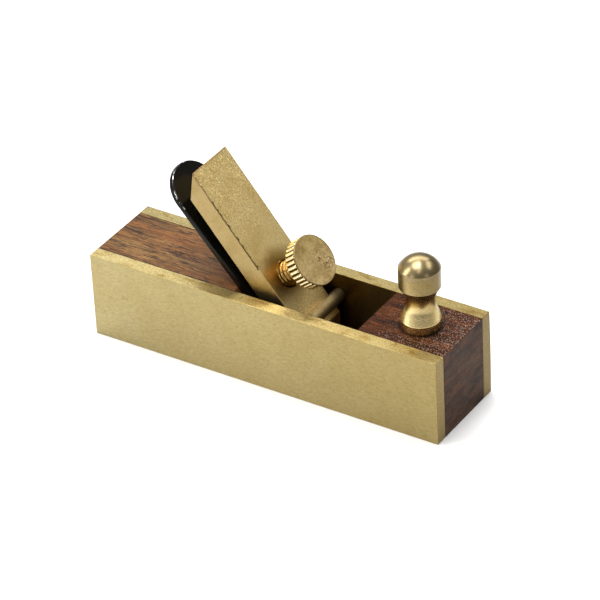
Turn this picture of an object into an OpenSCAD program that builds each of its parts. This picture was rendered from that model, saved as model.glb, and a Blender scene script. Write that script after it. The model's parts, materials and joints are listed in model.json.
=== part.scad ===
// Miniature block plane: brass side plates over wood blocks, with a steel blade
// clamped by a lever cap, a cross pin and a knurled thumb screw.
// X runs along the sole with the front knob at +X, Z is up, and the origin is
// the middle of the sole.

/* [Stock] */
// Length of the sole
stock_l = 85; // [82:1:90]
// Width over both side plates
stock_w = 22; // [21:0.5:26]
// Height of the stock
stock_h = 20; // [19.5:0.5:21]
// Thickness of each side plate
plate_t = 3.1; // [2.8:0.1:3.2]
// Chamfer along the long outer edges of the side plates
plate_chamfer = 0.1; // [0.1:0.1:0.6]
// Length of the toe block along its top
toe_top_l = 20.4; // [20:0.1:21]
// Width of the mouth in front of the cutting edge
mouth_gap = 1.5; // [1:0.1:2]

/* [Bed and blade] */
// Slope of the bed that carries the blade
bed_angle = 48.9; // [48:0.1:49.5]
// Where the bed meets the top of the stock, along X
bed_top_x = -8; // [-9:0.1:-7.5]
// Width of the blade
blade_w = 13.1; // [12.6:0.1:14]
// Thickness of the blade
blade_t = 1.3; // [1.1:0.1:1.4]
// Distance up the bed from the top of the stock to the centre of the blade's round end
blade_up = 21.2; // [19:0.1:24]
// Grinding angle of the cutting edge
bevel_angle = 28; // [25:1:35]
// Height of the cutting edge above the sole at rest
edge_lift = 0.05; // [0.05:0.05:0.2]

/* [Lever cap] */
// Width of the lever cap
cap_w = 12.4; // [11.5:0.1:13]
// Thickness of the lever cap
cap_t = 5; // [4.8:0.1:5.2]
// Slope of the lever cap's face
cap_angle = 51.2; // [50.5:0.1:52]
// Where the face crosses the level of the stock's top, along X
cap_top_x = 2.4; // [2.2:0.1:2.6]
// Length of the face above that level
cap_up = 32.1; // [30:0.1:35]
// Length of the lever cap below that level
cap_down = 14.5; // [13.5:0.1:15]
// How far the upper end is undercut
cap_undercut = 4.7; // [3:0.1:6]
// Length of the lip that bears on the blade
lip_l = 2.2; // [1.6:0.1:3]

/* [Cross pin] */
// Diameter of the cross pin
pin_d = 3; // [2.8:0.1:3.2]
// Distance of the cross pin down the lever cap's face
pin_s = 7.4; // [7:0.1:7.8]
// Height of the cross pin's axis above the lever cap's face
pin_n = 1; // [0.8:0.1:1.2]
// Depth of the blind holes in the side plates
pin_socket = 2; // [1.5:0.1:2.2]

/* [Thumb screw] */
// Distance of the thumb screw's axis up the lever cap's face
screw_s = 3.1; // [2.5:0.1:4]
// Outside diameter of the thread
screw_d = 5.5; // [5:0.1:6]
// Advance of the thread for one turn
screw_pitch = 1; // [0.8:0.05:1.2]
// Length of thread that shows between the lever cap and the head
screw_neck = 5.8; // [5:0.1:7]
// Outside diameter of the knurled head
head_d = 11.2; // [10:0.1:12]
// Thickness of the knurled head
head_t = 3.1; // [2.8:0.1:4]
// Number of teeth in the knurl
knurl_teeth = 32; // [24:1:40]
// Depth of the knurl's teeth
knurl_depth = 0.35; // [0.2:0.05:0.5]
// Diameter of the pad under the thumb screw
pad_d = 4.4; // [4:0.1:4.6]

/* [Front knob] */
// Distance of the knob's axis from the toe
knob_inset = 9.9; // [8:0.1:12]
// Radius of the foot
foot_r = 4.15; // [3.8:0.05:4.3]
// Height of the foot
foot_h = 1.8; // [1.2:0.1:2.2]
// Radius of the flared base above the foot
flare_r = 4.33; // [4.3:0.01:4.5]
// Radius of the waist
waist_r = 3.14; // [3:0.01:3.3]
// Height of the waist
waist_h = 6.1; // [6:0.1:6.3]
// Radius of the hollow that shapes the waist
hollow_r = 6; // [5.5:0.1:6.5]
// Radius of the head
knob_r = 4.43; // [4.35:0.01:4.6]
// Height of the head's shoulder
shoulder_h = 14.2; // [13:0.1:15]
// Height of the dome over the shoulder
dome_h = 2.6; // [2:0.1:3.4]
// Diameter of the stud that holds the knob
stud_d = 3; // [2.5:0.1:3.2]
// Length of the stud in the toe block
stud_in_block = 8; // [6:0.5:10]
// Length of the stud in the knob
stud_in_knob = 6; // [4:0.5:8]

/* [Dowels] */
// Diameter of the dowels between the blocks and the side plates
dowel_d = 2.5; // [2:0.1:3]
// Length of each dowel inside its side plate
dowel_in_plate = 2; // [1.5:0.1:2.2]
// Length of each dowel inside its block
dowel_in_block = 4; // [3:0.1:4.5]

/* [Hidden] */
$fn = 64;

// Radial clearance of a part that turns, and gap left between parts that bear
run_gap = 0.05;
bear_gap = 0.03;
eps = 0.01;

brass = "#C4B06C";
polished_brass = "#CDB873";
rosewood = "#7A4A2A";
dark_rosewood = "#5A3226";
steel = "#1C1C1E";

toe_x = stock_l / 2;
throat_w = stock_w - 2 * plate_t;
toe_top_x = toe_x - toe_top_l;
bed_foot_x = bed_top_x + stock_h / tan(bed_angle);
pin_r = pin_d / 2;

// The cutting edge, measured down the bed from the top of the stock
edge_b = (stock_h - edge_lift + blade_t * cos(bed_angle)) / sin(bed_angle);
edge_x = bed_top_x + edge_b * cos(bed_angle) + blade_t * sin(bed_angle);
mouth_x = edge_x + mouth_gap;

// Height of the blade's face in the lever cap's frame, at distance s down it
tilt = cap_angle - bed_angle;
function blade_n(s) =
    (blade_t - (cap_top_x - bed_top_x) * sin(bed_angle) + s * sin(tilt)) / cos(tilt);

// The blind end of the thread, and the pad that fills the room down to the blade
thread_end = -cap_t - 0.2;
pad_foot = blade_n(-screw_s) + bear_gap;
pad_dome_r = 10;
spigot_r = 1.2;
spigot_l = 0.6;
face_t = 0.5;
head_r = head_d / 2;

// Dowel places in each block: [along X, up Z]
toe_dowel_at = [[toe_x - 15, 5], [toe_x - 5, 14]];
heel_dowel_at = [[-toe_x + 6, 14], [-toe_x + 32, 6]];

// Frames: X down the slope, Z out of its face, starting level with the stock's top
module on_bed() {
    translate([bed_top_x, 0, stock_h]) rotate([0, bed_angle, 0]) children();
}

module on_cap() {
    translate([cap_top_x, 0, stock_h]) rotate([0, cap_angle, 0]) children();
}

// Extrude an outline drawn in X and Z across the width w
module across(w) {
    rotate([90, 0, 0]) linear_extrude(w, center = true) children();
}

module bar_across(r, w) {
    rotate([90, 0, 0]) cylinder(r = r, h = w, center = true);
}

// The cross pin's line: half_w is how far it runs to each side
module pin_line(r, half_w) {
    on_cap() translate([pin_s, 0, pin_n]) bar_across(r, 2 * half_w);
}

// One side's dowels run from depth in_block in the block to in_plate in the plate
module dowels(places, side) {
    dowel_l = dowel_in_block + dowel_in_plate;
    mid_y = throat_w / 2 + (dowel_in_plate - dowel_in_block) / 2;
    for (p = places)
        translate([p[0], side * mid_y, p[1]]) bar_across(dowel_d / 2, dowel_l);
}

module side_plate(side) {
    outer = stock_w / 2;
    inner = throat_w / 2;
    c = plate_chamfer;
    difference() {
        rotate([90, 0, 90]) linear_extrude(stock_l, center = true)
            polygon([[side * inner, 0], [side * (outer - c), 0], [side * outer, c],
                     [side * outer, stock_h - c], [side * (outer - c), stock_h],
                     [side * inner, stock_h]]);
        pin_line(pin_r, inner + pin_socket);
        dowels(toe_dowel_at, side);
        dowels(heel_dowel_at, side);
    }
}

module near_side_plate() {
    color(brass) side_plate(-1);
}

module far_side_plate() {
    color(brass) side_plate(1);
}

module stud_hole(top, bottom) {
    translate([toe_x - knob_inset, 0, bottom]) cylinder(d = stud_d, h = top - bottom);
}

module toe_block() {
    color(dark_rosewood) difference() {
        across(throat_w)
            polygon([[mouth_x, 0], [toe_x, 0], [toe_x, stock_h], [toe_top_x, stock_h]]);
        stud_hole(stock_h + 1, stock_h - stud_in_block);
        dowels(toe_dowel_at, -1);
        dowels(toe_dowel_at, 1);
    }
}

module heel_block() {
    color(rosewood) difference() {
        across(throat_w)
            polygon([[-toe_x, 0], [bed_foot_x, 0], [bed_top_x, stock_h], [-toe_x, stock_h]]);
        dowels(heel_dowel_at, -1);
        dowels(heel_dowel_at, 1);
    }
}

module toe_dowels() {
    color(brass) for (side = [-1, 1]) dowels(toe_dowel_at, side);
}

module heel_dowels() {
    color(brass) for (side = [-1, 1]) dowels(heel_dowel_at, side);
}

module cross_pin() {
    color(polished_brass) pin_line(pin_r, throat_w / 2 + pin_socket - 0.1);
}

// Round at the top, square at the edge, ground on the side that faces the bed
module blade() {
    end_r = blade_w / 2;
    ground_b = edge_b - blade_t / tan(bevel_angle);
    color(steel) on_bed() intersection() {
        linear_extrude(blade_t) {
            translate([-blade_up, 0]) circle(r = end_r, $fn = 96);
            translate([-blade_up, -end_r]) square([blade_up + edge_b, blade_w]);
        }
        across(blade_w + 2)
            polygon([[-blade_up - blade_w, 0], [ground_b, 0], [edge_b, blade_t],
                     [-blade_up - blade_w, blade_t]]);
    }
}

// A straight bar with an undercut upper end, a chamfered lower end over a lip,
// a threaded hole, and a shallow groove for the cross pin
module lever_cap() {
    nose_s = pin_s + 3;
    nose_n = -3.4;
    lip_s = cap_down - lip_l;
    color(brass) on_cap() difference() {
        across(cap_w)
            polygon([[-cap_up, 0], [nose_s, 0], [cap_down, nose_n],
                     [cap_down, blade_n(cap_down) + bear_gap],
                     [lip_s, blade_n(lip_s) + bear_gap], [lip_s - 0.8, -cap_t],
                     [-cap_up + cap_undercut, -cap_t]]);
        translate([pin_s, 0, pin_n]) bar_across(pin_r + run_gap, cap_w + 1);
        translate([-screw_s, 0, -cap_t - 1])
            cylinder(r = screw_d / 2 + run_gap, h = cap_t + 2);
    }
}

// Outline of the knurl: rounded teeth as a cosine wave on the head's radius
module knurl_outline() {
    steps = 6 * knurl_teeth;
    polygon([for (i = [0 : steps - 1])
        let (a = 360 * i / steps,
             r = head_r - knurl_depth / 2 * (1 - cos(a * knurl_teeth)))
        [r * cos(a), r * sin(a)]]);
}

module thumb_screw() {
    head_back = screw_neck;
    face_back = screw_neck + head_t - face_t;
    color(polished_brass) on_cap() translate([-screw_s, 0, 0]) {
        translate([0, 0, thread_end]) cylinder(d = screw_d, h = head_back - thread_end + eps);
        translate([0, 0, thread_end - spigot_l]) cylinder(r = spigot_r, h = spigot_l + eps);
        translate([0, 0, head_back]) linear_extrude(face_back - head_back) knurl_outline();
        translate([0, 0, face_back]) cylinder(r = head_r - 0.05, h = face_t);
    }
}

// A domed pad that stays still on the blade while the screw turns in its socket
module screw_pad() {
    pad_top = thread_end - run_gap;
    color(brass) on_cap() translate([-screw_s, 0, 0]) difference() {
        intersection() {
            translate([0, 0, pad_foot]) cylinder(d = pad_d, h = pad_top - pad_foot);
            translate([0, 0, pad_foot + pad_dome_r]) sphere(r = pad_dome_r);
        }
        translate([0, 0, thread_end - spigot_l - run_gap])
            cylinder(r = spigot_r + run_gap, h = spigot_l + 1);
    }
}

// Half outline of the turned knob, standing on its foot
module knob_outline() {
    hollow_h = sqrt(pow(hollow_r, 2) - pow(hollow_r - (knob_r - waist_r), 2));
    head_foot = waist_h + hollow_h;
    dome_r = (pow(knob_r, 2) + pow(dome_h, 2)) / (2 * dome_h);
    square([foot_r, foot_h + eps]);
    difference() {
        translate([0, foot_h]) square([flare_r, waist_h - foot_h]);
        translate([waist_r + hollow_r, waist_h]) circle(r = hollow_r, $fn = 128);
    }
    difference() {
        translate([0, waist_h]) square([knob_r, head_foot - waist_h]);
        translate([waist_r + hollow_r, waist_h]) circle(r = hollow_r, $fn = 128);
    }
    translate([0, head_foot]) square([knob_r, shoulder_h - head_foot]);
    intersection() {
        translate([0, shoulder_h]) square([knob_r, dome_h]);
        translate([0, shoulder_h + dome_h - dome_r]) circle(r = dome_r, $fn = 128);
    }
}

module front_knob() {
    color(polished_brass) difference() {
        translate([toe_x - knob_inset, 0, stock_h]) rotate_extrude($fn = 96) knob_outline();
        stud_hole(stock_h + stud_in_knob, stock_h - 1);
    }
}

module knob_stud() {
    color(brass) stud_hole(stock_h + stud_in_knob - 0.3, stock_h - stud_in_block + 0.3);
}

near_side_plate();
far_side_plate();
toe_block();
heel_block();
toe_dowels();
heel_dowels();
cross_pin();
blade();
lever_cap();
thumb_screw();
screw_pad();
front_knob();
knob_stud();
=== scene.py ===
"""Looks of the miniature hand plane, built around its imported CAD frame. All lengths are in metres."""

import json
import math
from collections import namedtuple

import bmesh
import bpy
from mathutils import Matrix, Vector, noise


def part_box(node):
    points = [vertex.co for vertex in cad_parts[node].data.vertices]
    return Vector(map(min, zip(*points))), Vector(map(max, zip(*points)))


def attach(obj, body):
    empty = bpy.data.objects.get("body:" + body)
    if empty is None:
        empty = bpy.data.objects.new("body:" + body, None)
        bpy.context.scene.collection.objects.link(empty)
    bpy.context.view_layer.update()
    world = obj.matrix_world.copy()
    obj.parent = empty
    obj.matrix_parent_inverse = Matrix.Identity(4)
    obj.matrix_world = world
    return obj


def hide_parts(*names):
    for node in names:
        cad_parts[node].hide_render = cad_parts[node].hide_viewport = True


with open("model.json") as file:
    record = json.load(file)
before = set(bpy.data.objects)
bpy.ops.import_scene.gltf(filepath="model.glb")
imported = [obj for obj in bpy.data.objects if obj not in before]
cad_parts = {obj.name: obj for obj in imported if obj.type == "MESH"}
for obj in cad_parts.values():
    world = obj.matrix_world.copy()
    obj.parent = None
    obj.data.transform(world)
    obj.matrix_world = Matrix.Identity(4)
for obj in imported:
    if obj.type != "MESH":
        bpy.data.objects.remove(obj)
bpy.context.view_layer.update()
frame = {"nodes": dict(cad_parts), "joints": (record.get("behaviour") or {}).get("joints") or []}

MM = 0.001
TURN = 2 * math.pi
JOINTS = {joint["name"]: joint for joint in frame["joints"]}
Y_AXIS = Vector((0, 1, 0))
# A CAD corner this close to a plane counts as lying on it
NEAR = MM / 20
# Points of a mesh this close together count as one
MERGED = MM / 10000


# -------------------------------- frames and sizes

def sloping_frame(origin, out):
    """A frame whose X runs down a slope, Y across it and Z out of its face."""
    out = Vector(out).normalized()
    down = Y_AXIS.cross(out)
    turn = Matrix((down, Y_AXIS, out)).transposed().to_4x4()
    return Matrix.Translation(Vector(origin)) @ turn


def local_points(node, place):
    """The CAD node's corners, seen in a local frame."""
    back = place.inverted()
    return [back @ v.co for v in frame["nodes"][node].data.vertices]


def local_box(node, place):
    points = local_points(node, place)
    low = Vector([min(p[i] for p in points) for i in range(3)])
    high = Vector([max(p[i] for p in points) for i in range(3)])
    return low, high


STOCK_LOW, STOCK_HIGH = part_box("near_side_plate")
TOE_X, TOP_Z = STOCK_HIGH.x, STOCK_HIGH.z
TOE_LOW, TOE_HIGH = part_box("toe_block")
HALF_THROAT = TOE_HIGH.y

UP_BED = Vector(JOINTS["blade_slide"]["axis"])
BED_OUT = Y_AXIS.cross(UP_BED)
BED_TOP = max(v.co.x for v in frame["nodes"]["heel_block"].data.vertices if v.co.z > TOP_Z - NEAR)
BED = sloping_frame((BED_TOP, 0, TOP_Z), BED_OUT)
CAP = sloping_frame(JOINTS["thumb_screw_turn"]["pos_m"], JOINTS["thumb_screw_advance"]["axis"])
PIN = CAP.inverted() @ Vector(JOINTS["lever_cap_rock"]["pos_m"])


# -------------------------------- mesh tools

def unit(value):
    """Keeps a value between 0 and 1."""
    return max(0.0, min(1.0, value))


def wobble(x, y, z, scale):
    """Smooth noise between about -1 and 1 that changes over the given distance."""
    return noise.noise(Vector((x, y, z)) / scale)


def finish_piece(name, bm, body, nodes, materials):
    """Closes a mesh into a named piece that rides on a body and stands for CAD nodes."""
    bmesh.ops.recalc_face_normals(bm, faces=bm.faces)
    mesh = bpy.data.meshes.new(name)
    bm.to_mesh(mesh)
    bm.free()
    for polygon in mesh.polygons:
        polygon.use_smooth = True
    for material in materials:
        mesh.materials.append(material)
    piece = bpy.data.objects.new(name, mesh)
    bpy.context.scene.collection.objects.link(piece)
    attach(piece, body)
    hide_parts(*nodes)
    return piece


def skin(rings):
    """Joins closed rings of equal length with quads and closes both ends."""
    bm = bmesh.new()
    made = [[bm.verts.new(p) for p in ring] for ring in rings]
    count = len(made[0])
    for low, high in zip(made, made[1:]):
        for i in range(count):
            j = (i + 1) % count
            bm.faces.new((low[i], low[j], high[j], high[i]))
    bm.faces.new(made[0][::-1])
    bm.faces.new(made[-1])
    bmesh.ops.remove_doubles(bm, verts=bm.verts, dist=MERGED)
    return bm


# How far beside a rounded edge a flat face gets its own row of points
GUARD = 0.2 * MM
# Corners of an outline that turn by less than this, in degrees, stay as they are
SHARP_TURN = 20
# The ends of a turned part are one flat face inside this radius
HUB = 0.3 * MM

# A point of a bar's outline. normal points outward, centre is that of the rounded corner it is on,
# or None on a flat, signs point out to its corner, numbered corner, and edge is its share of wear
Entry = namedtuple("Entry", "point normal centre signs edge corner")


def rounded_section(low, high, radii, spacing=0.8 * MM):
    """Outline of a rectangle with its own radius at each corner, anticlockwise from the low one."""
    corners = ((low[0], low[1], 180), (high[0], low[1], 270), (high[0], high[1], 0), (low[0], high[1], 90))
    steps = 5
    section = []

    def straight(start, end, normal, signs, number):
        count = max(1, round((end - start).length / spacing))
        for k in range(count + 1):
            section.append(Entry(start.lerp(end, k / count), normal, None, signs, 0, number))

    ends = []
    for number, ((x, y, start), r) in enumerate(zip(corners, radii)):
        signs = Vector((math.copysign(1, 2 * x - low[0] - high[0]),
                        math.copysign(1, 2 * y - low[1] - high[1])))
        ends.append((Vector((x, y)) - r * signs, start, r, signs))
    for number, (centre, start, r, signs) in enumerate(ends):
        for k in range(steps + 1):
            a = math.radians(start + 90 * k / steps)
            normal = Vector((math.cos(a), math.sin(a)))
            edge = math.sin(math.pi * k / steps)
            section.append(Entry(centre + r * normal, normal, centre, signs, edge, number))
        after, _, after_r, _ = ends[(number + 1) % 4]
        along = Vector((-normal.y, normal.x))
        straight(centre + r * normal + GUARD * along, after + after_r * normal - GUARD * along,
                 normal, signs, number)
    return section


def inset(entry, depth):
    """A section's point moved inward, without crossing over at a rounded corner."""
    if entry.centre is None or depth <= 0:
        return entry.point - depth * entry.normal
    r = (entry.point - entry.centre).length
    if depth < r:
        return entry.point - depth * entry.normal
    return entry.centre - (depth - r) * entry.signs


def stations(start, end, r, step):
    """Places along a bar as (distance, inset), with both flat ends rounded to radius r."""
    steps = 4
    head = [(0.0, r + 0.9 * GUARD)]
    for k in range(steps + 1):
        a = math.pi / 2 * k / steps
        head.append((r * (1 - math.cos(a)), r * (1 - math.sin(a))))
    count = max(2, round((end - start - 2 * r) / step))
    middle = [(start + r + (end - start - 2 * r) * i / count, 0.0) for i in range(1, count)]
    return ([(start + d, depth) for d, depth in head] + middle
            + [(end - d, depth) for d, depth in reversed(head)])


def loft(section, places, put, wear):
    """Skin of a bar. put(along, across, up) gives a point; wear(along, point, corner) insets edges."""
    rings = []
    for along, depth in places:
        ring = []
        for entry in section:
            worn = entry.edge * wear(along, entry.point, entry.corner) if entry.edge else 0
            p = inset(entry, depth + worn)
            ring.append(put(along, p.x, p.y))
        rings.append(ring)
    return skin(rings)


def soften(profile, bevel, guard):
    """Breaks each sharp corner of an open outline, and adds points that keep flats flat."""
    points = [Vector(p) for p in profile]
    out = [points[0]]
    for before, here, after in zip(points, points[1:], points[2:]):
        back, on = before - here, after - here
        if min(back.length, on.length) < MERGED:
            continue
        if math.degrees((-back).angle(on)) < SHARP_TURN:
            out.append(here)
            continue
        room = min(back.length, on.length) / 2.5
        b, g = min(bevel, room / 2), min(bevel + guard, room)
        back.normalize()
        on.normalize()
        out += [here + g * back, here + b * back, here + 0.3 * b * (back + on),
                here + b * on, here + g * on]
    return out + [points[-1]]


def revolve(profile, place, segments, radius=None):
    """Skin of a turned part. profile holds (radius, height); radius(r, height, angle) may vary it."""
    rings = []
    for r, height in profile:
        ring = []
        for i in range(segments):
            a = TURN * i / segments
            reach = radius(r, height, a) if radius else r
            ring.append(place @ Vector((reach * math.cos(a), reach * math.sin(a), height)))
        rings.append(ring)
    return skin(rings)


def cut(piece, cutter_bm):
    """Takes a closed shape out of a piece for good."""
    bmesh.ops.recalc_face_normals(cutter_bm, faces=cutter_bm.faces)
    mesh = bpy.data.meshes.new("cutter")
    cutter_bm.to_mesh(mesh)
    cutter_bm.free()
    cutter = bpy.data.objects.new("cutter", mesh)
    bpy.context.scene.collection.objects.link(cutter)
    boolean = piece.modifiers.new("cut", "BOOLEAN")
    boolean.object = cutter
    boolean.solver = "EXACT"
    evaluated = piece.evaluated_get(bpy.context.evaluated_depsgraph_get())
    result = bpy.data.meshes.new_from_object(evaluated)
    piece.modifiers.remove(boolean)
    piece.data = result
    bpy.data.objects.remove(cutter)
    bpy.data.meshes.remove(mesh)


# -------------------------------- material tools

class Nodes:
    """Small wrapper that builds a procedural material's node tree."""

    def __init__(self, name):
        self.material = bpy.data.materials.new(name)
        self.material.use_nodes = True
        self.tree = self.material.node_tree
        self.tree.nodes.clear()
        self.shader = self.tree.nodes.new("ShaderNodeBsdfPrincipled")
        output = self.tree.nodes.new("ShaderNodeOutputMaterial")
        self.tree.links.new(self.shader.outputs[0], output.inputs[0])
        place = self.tree.nodes.new("ShaderNodeTexCoord")
        self.coords, self.normals = place.outputs["Object"], place.outputs["Normal"]

    def put(self, socket, value):
        """Links an output, or sets a plain value."""
        if isinstance(value, bpy.types.NodeSocket):
            self.tree.links.new(value, socket)
        else:
            socket.default_value = value

    def set(self, **values):
        """Sets or links inputs of the surface shader."""
        names = {"base": "Base Color", "rough": "Roughness", "metal": "Metallic", "normal": "Normal",
                 "specular": "Specular IOR Level"}
        for key, value in values.items():
            self.put(self.shader.inputs[names[key]], value)

    def noise(self, vector, scale, detail, rough, colour=False):
        node = self.tree.nodes.new("ShaderNodeTexNoise")
        node.inputs["Scale"].default_value = scale
        node.inputs["Detail"].default_value = detail
        node.inputs["Roughness"].default_value = rough
        self.put(node.inputs["Vector"], vector)
        return node.outputs["Color" if colour else "Fac"]

    def streaks(self, scale, detail, rough, turn=(0, 0, 0), source=None, colour=False):
        """Noise with its own scale along each axis."""
        node = self.tree.nodes.new("ShaderNodeMapping")
        node.inputs["Scale"].default_value = scale
        node.inputs["Rotation"].default_value = turn
        self.put(node.inputs["Vector"], source or self.coords)
        return self.noise(node.outputs[0], 1.0, detail, rough, colour)

    def cells(self, vector, scale, output="Distance"):
        node = self.tree.nodes.new("ShaderNodeTexVoronoi")
        node.inputs["Scale"].default_value = scale
        self.put(node.inputs["Vector"], vector)
        return node.outputs[output]

    def ramp(self, value, stops):
        """Maps 0..1 to colours; a plain number as a colour means grey."""
        node = self.tree.nodes.new("ShaderNodeValToRGB")
        ramp = node.color_ramp
        while len(ramp.elements) < len(stops):
            ramp.elements.new(1.0)
        for element, (place, colour) in zip(ramp.elements, stops):
            element.position = place
            element.color = (*colour, 1) if isinstance(colour, tuple) else (colour, colour, colour, 1)
        self.put(node.inputs[0], value)
        return node.outputs[0]

    def math(self, operation, a, b=0.0, c=0.0, clamp=False):
        node = self.tree.nodes.new("ShaderNodeMath")
        node.operation = operation
        node.use_clamp = clamp
        for socket, value in zip(node.inputs, (a, b, c)):
            self.put(socket, value)
        return node.outputs[0]

    def share(self, value, start, end, clamp=False):
        """How far a value has come on the way from start, where this is 0, to end, where it is 1."""
        length = end - start
        return self.math("MULTIPLY_ADD", value, 1 / length, -start / length, clamp=clamp)

    def mix(self, factor, a, b, blend="MIX"):
        node = self.tree.nodes.new("ShaderNodeMix")
        node.data_type = "RGBA"
        node.blend_type = blend
        for name, value in (("Factor_Float", factor), ("A_Color", a), ("B_Color", b)):
            socket = next(s for s in node.inputs if s.identifier == name)
            self.put(socket, (*value, 1) if isinstance(value, tuple) else value)
        return next(s for s in node.outputs if s.identifier == "Result_Color")

    def tint(self, tone, colour, share=1.0):
        """Multiplies a tone by a colour, as far as share says."""
        return self.mix(share, tone, colour, "MULTIPLY")

    def length(self, x, y):
        """Length of a flat vector, from its two parts."""
        return self.math("SQRT", self.math("MULTIPLY_ADD", x, x, self.math("MULTIPLY", y, y)))

    def vector(self, operation, *values):
        node = self.tree.nodes.new("ShaderNodeVectorMath")
        node.operation = operation
        for socket, value in zip(node.inputs, values):
            self.put(socket, value)
        return node.outputs["Value" if operation == "DOT_PRODUCT" else "Vector"]

    def facets(self, vector, scale, tilt, normal):
        """Gives each small cell of a surface its own tilt, as on cast or filed metal."""
        lean = self.vector("SUBTRACT", self.cells(vector, scale, output="Color"), (0.5, 0.5, 0.5))
        return self.vector("NORMALIZE", self.vector("ADD", normal, self.vector("MULTIPLY", lean, tilt)))

    def split(self, vector):
        node = self.tree.nodes.new("ShaderNodeSeparateXYZ")
        self.put(node.inputs[0], vector)
        return node.outputs

    def local(self, place):
        """Coordinates in a sloping frame, as a point's X, Y and Z there."""
        back = place.inverted()
        moved = self.vector("SUBTRACT", self.coords, place.translation)
        parts = [self.vector("DOT_PRODUCT", moved, back[row][:3]) for row in range(3)]
        joined = self.tree.nodes.new("ShaderNodeCombineXYZ")
        for socket, part in zip(joined.inputs, parts):
            self.put(socket, part)
        return joined.outputs[0]

    def bump(self, height, distance, normal=None):
        node = self.tree.nodes.new("ShaderNodeBump")
        node.inputs["Distance"].default_value = distance
        self.put(node.inputs["Height"], height)
        if normal:
            self.put(node.inputs["Normal"], normal)
        return node.outputs[0]


# -------------------------------- materials

BRASS = (0.375, 0.295, 0.122)
BRASS_DEEP = (0.285, 0.20, 0.065)
BRASS_PALE = (0.46, 0.385, 0.20)
CAP_TONE = (0.74, 0.55, 0.225)
CAP_DEEP = (0.53, 0.37, 0.12)
CAP_PALE = (0.80, 0.64, 0.31)


def plate_brass():
    """Side plates: satin faces painted lighter towards the heel and darker towards the toe as painted
    light, coarsely filed tops, sawn ends painted darker as shade, insides darker towards the heel, and the
    far plate's top and ends painted darker as shade. The near plate's top has a painted shadow of the
    blade and lever cap where the heel block ends, and a painted highlight beside the throat."""
    m = Nodes("plate_brass")
    nx, ny, nz = m.split(m.normals)[:3]
    x, y = m.split(m.coords)[:2]
    top = m.ramp(nz, [(0.45, 0.0), (0.8, 1.0)])
    end = m.ramp(m.math("ABSOLUTE", nx), [(0.45, 0.0), (0.8, 1.0)])
    rim = m.math("MAXIMUM", top, end)
    inside = m.math("LESS_THAN", m.math("MULTIPLY", m.math("SIGN", y), ny), -0.5)
    lines = m.streaks((90, 2600, 2600), 4, 0.6)
    cross = m.streaks((2400, 900, 110), 3, 0.6)
    mottle = m.noise(m.coords, 1900, 3, 0.7)
    grit = m.streaks((2400, 4200, 4200), 3, 0.75)
    cloud = m.noise(m.coords, 120, 4, 0.6)
    brushed = m.streaks((1000, 3300, 3300), 3, 0.75)
    blotch = m.streaks((260, 500, 500), 3, 0.6)
    tone = m.mix(0.16, BRASS, m.ramp(cloud, [(0.35, BRASS_DEEP), (0.5, BRASS), (0.68, BRASS_PALE)]))
    tone = m.tint(tone, m.ramp(mottle, [(0.3, 0.72), (0.41, 0.97), (0.6, 1.0), (0.75, 1.1)]))
    tone = m.tint(tone, m.ramp(brushed, [(0.3, 0.82), (0.5, 1.0), (0.68, 1.12)]))
    # Painted light: the plates are painted lighter and bluer towards the heel and darker towards the toe
    run = m.ramp(m.share(x, STOCK_LOW.x, TOE_X),
                 [(0.0, (1.06, 1.1, 1.25)), (0.5, (1.02, 1.02, 1.07)), (0.9, (0.9, 0.88, 0.85))])
    tone = m.tint(tone, run)
    filed = m.tint(m.ramp(grit, [(0.32, 0.52), (0.5, 0.93), (0.68, 1.4)]),
                   m.ramp(blotch, [(0.34, (0.74, 0.64, 0.45)), (0.48, 1.0), (0.66, 1.08)]))
    tone = m.tint(tone, filed, top)
    # Ends: sawn grit, with painted shade that makes them darker on average than the faces
    sawn_and_shaded = m.ramp(grit, [(0.3, (0.44, 0.36, 0.24)), (0.5, (0.76, 0.72, 0.66)), (0.7, (1.08, 1.02, 0.95))])
    tone = m.tint(tone, sawn_and_shaded, end)
    # Inside faces are darker towards the heel, fading out about 16 mm towards the toe
    inside_darkening = m.ramp(m.share(x, 0, 20 * MM),
                   [(0.2, (0.26, 0.18, 0.10)), (0.5, (0.45, 0.34, 0.21)), (0.78, (1.1, 0.95, 0.72))])
    tone = m.tint(tone, inside_darkening, inside)
    near_top = m.math("MULTIPLY", m.math("LESS_THAN", y, 0.0), top)
    # Painted shadow of the blade and lever cap on the near top, then a painted highlight beside the throat
    painted_shadow_and_highlight = m.ramp(m.share(x, -20 * MM, 10 * MM),
                       [(0.12, (1.14, 1.13, 1.08)), (0.18, (0.86, 0.78, 0.62)),
                        (0.40, (0.86, 0.78, 0.62)), (0.46, (1.6, 1.55, 1.4)),
                        (0.78, (1.6, 1.55, 1.4)), (0.87, (1.14, 1.13, 1.08))])
    tone = m.tint(tone, painted_shadow_and_highlight, near_top)
    # Painted shade: the far plate's top and ends are painted darker
    far_rim = m.math("MULTIPLY", m.math("GREATER_THAN", y, 0.0), rim)
    tone = m.tint(tone, (0.83, 0.83, 0.8), far_rim)
    m.set(base=tone, metal=1.0)
    uneven = m.math("MULTIPLY_ADD", lines, 0.14, m.math("MULTIPLY_ADD", cloud, 0.06, 0.27))
    m.set(rough=m.math("MULTIPLY_ADD", rim, 0.1, uneven))
    fine = m.bump(lines, 0.007 * MM)
    fine = m.bump(cross, 0.006 * MM, normal=fine)
    coarse = m.math("MULTIPLY", grit, m.math("MULTIPLY_ADD", rim, 0.8, 0.2))
    m.set(normal=m.bump(coarse, 0.05 * MM, normal=fine))
    return m.material


# Along the lever cap's face, where the burr and the torn seam of its near top edge run out
BURR_END = -4.6 * MM
# Across the lever cap, what lies beyond this is its near side
CAP_NEAR_SIDE = -5.9 * MM


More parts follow.
